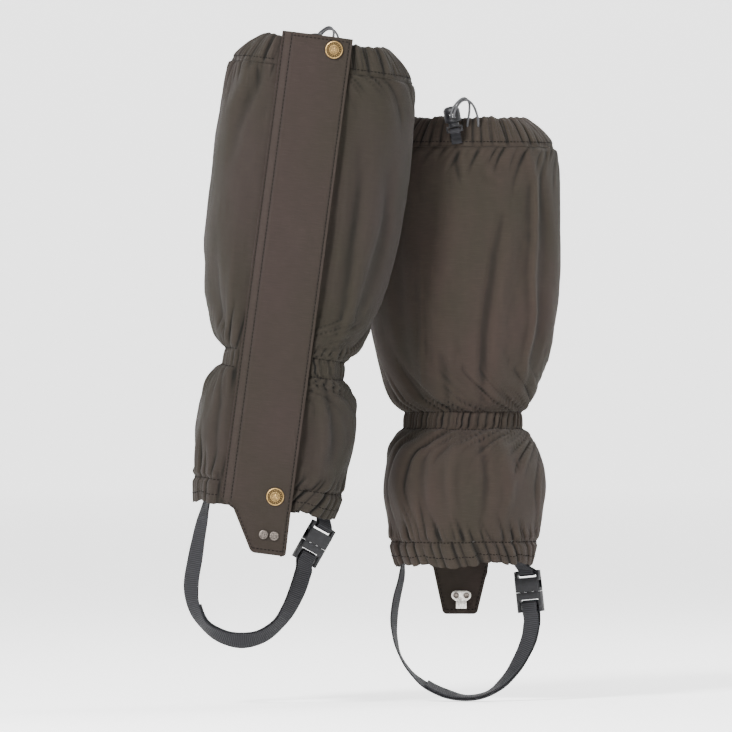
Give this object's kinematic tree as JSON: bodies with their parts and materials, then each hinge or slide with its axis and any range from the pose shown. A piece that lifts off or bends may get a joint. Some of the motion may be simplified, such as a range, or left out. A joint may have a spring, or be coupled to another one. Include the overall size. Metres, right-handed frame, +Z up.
{
  "type": "gaiters",
  "caption": "Pair of knee-high walking gaiters with gathered elastic calf bands, front zips under snap-closed storm flaps, lace hooks, buckled instep straps and cord-locked rims.",
  "frame": {"origin": "midway between the centres of the two calf elastics", "axes": "+Z up the leg as worn, +X to the wearer's lateral side of the back-view gaiter (right in the front view), -Y towards the front face of the left gaiter"},
  "size_m": [0.3301, 0.2256, 0.5901],
  "materials": {
    "gaiter_fabric": "fine brushed olive-brown cloth, soft and matte",
    "elastic": "woven elastic",
    "webbing": "ribbed black webbing and tape",
    "black_plastic": "satin black moulding",
    "antique_brass": "antiqued stamped brass",
    "nickel": "dull nickel",
    "dark_steel": "dark burnished steel",
    "cord": "braided black shock cord"
  },
  "bodies": {
    "gaiters": {"left_shell": "gaiter_fabric", "left_top_casing": "gaiter_fabric", "left_calf_elastic": "elastic", "left_hem_elastic": "elastic", "left_zip_tape_medial": "webbing", "left_zip_tape_lateral": "webbing", "left_zip_bottom_box": "black_plastic", "left_upper_snap_stud": "antique_brass", "left_lower_snap_stud": "antique_brass", "left_buckle_tab": "webbing", "left_buckle_female": "black_plastic", "left_draw_cord": "cord", "left_cordlock_plunger": "black_plastic", "left_cordlock_spring": "nickel", "left_cordlock_tab": "webbing", "right_shell": "gaiter_fabric", "right_top_casing": "gaiter_fabric", "right_calf_elastic": "elastic", "right_hem_elastic": "elastic", "right_zip_tape_medial": "webbing", "right_zip_tape_lateral": "webbing", "right_zip_bottom_box": "black_plastic", "right_upper_snap_stud": "antique_brass", "right_lower_snap_stud": "antique_brass", "right_buckle_tab": "webbing", "right_buckle_female": "black_plastic", "right_draw_cord": "cord", "right_cordlock_plunger": "black_plastic", "right_cordlock_spring": "nickel", "right_cordlock_tab": "webbing"},
    "left_flap": {"left_storm_flap": "gaiter_fabric", "left_upper_snap_cap": "antique_brass", "left_upper_snap_socket": "antique_brass", "left_lower_snap_cap": "antique_brass", "left_lower_snap_socket": "antique_brass", "left_lace_hook": "nickel", "left_hook_rivet_medial": "dark_steel", "left_hook_rivet_lateral": "dark_steel"},
    "left_slider": {"left_zip_slider": "dark_steel"},
    "left_pull": {"left_zip_pull": "dark_steel"},
    "left_strap_buckle": {"left_buckle_male": "black_plastic", "left_instep_strap": "webbing"},
    "left_lock_barrel": {"left_cordlock_barrel": "black_plastic"},
    "right_flap": {"right_storm_flap": "gaiter_fabric", "right_upper_snap_cap": "antique_brass", "right_upper_snap_socket": "antique_brass", "right_lower_snap_cap": "antique_brass", "right_lower_snap_socket": "antique_brass", "right_lace_hook": "nickel", "right_hook_rivet_medial": "dark_steel", "right_hook_rivet_lateral": "dark_steel"},
    "right_slider": {"right_zip_slider": "dark_steel"},
    "right_pull": {"right_zip_pull": "dark_steel"},
    "right_strap_buckle": {"right_buckle_male": "black_plastic", "right_instep_strap": "webbing"},
    "right_lock_barrel": {"right_cordlock_barrel": "black_plastic"}
  },
  "joints": [
    {"name": "left_flap_hinge", "type": "hinge", "parent": "gaiters", "child": "left_flap", "pos_m": [-0.11568, -0.10375, 0.02976], "axis": [-0.1305, 0, -0.9914], "range_deg": [0, 140]},
    {"name": "left_zip_slide", "type": "slide", "parent": "gaiters", "child": "left_slider", "axis": [-0.1305, 0, -0.9914], "range_m": [0, 0.3515]},
    {"name": "left_pull_swing", "type": "hinge", "parent": "left_slider", "child": "left_pull", "pos_m": [-0.05389, -0.1063, 0.26924], "axis": [0, 1, 0], "range_deg": [-30, 30]},
    {"name": "left_buckle_release", "type": "slide", "parent": "gaiters", "child": "left_strap_buckle", "axis": [-0.4924, 0, -0.8704], "range_m": [0, 0.013]},
    {"name": "left_lock_press", "type": "slide", "parent": "gaiters", "child": "left_lock_barrel", "axis": [0.0436, 0, -0.999], "range_m": [0, 0.003], "stiffness_N_per_m": 600, "springref_m": -0.004},
    {"name": "right_flap_hinge", "type": "hinge", "parent": "gaiters", "child": "right_flap", "pos_m": [0.04, 0.10375, -0.0248], "axis": [0, 0, 1], "range_deg": [0, 140]},
    {"name": "right_zip_slide", "type": "slide", "parent": "gaiters", "child": "right_slider", "axis": [0, 0, -1], "range_m": [0, 0.3355]},
    {"name": "right_pull_swing", "type": "hinge", "parent": "right_slider", "child": "right_pull", "pos_m": [0.07, 0.1063, 0.2047], "axis": [0, 1, 0], "range_deg": [-30, 30]},
    {"name": "right_buckle_release", "type": "slide", "parent": "gaiters", "child": "right_strap_buckle", "axis": [0.1045, 0, -0.9945], "range_m": [0, 0.013]},
    {"name": "right_lock_press", "type": "slide", "parent": "gaiters", "child": "right_lock_barrel", "axis": [0.1736, 0, -0.9848], "range_m": [0, 0.003], "stiffness_N_per_m": 600, "springref_m": -0.004}
  ]
}
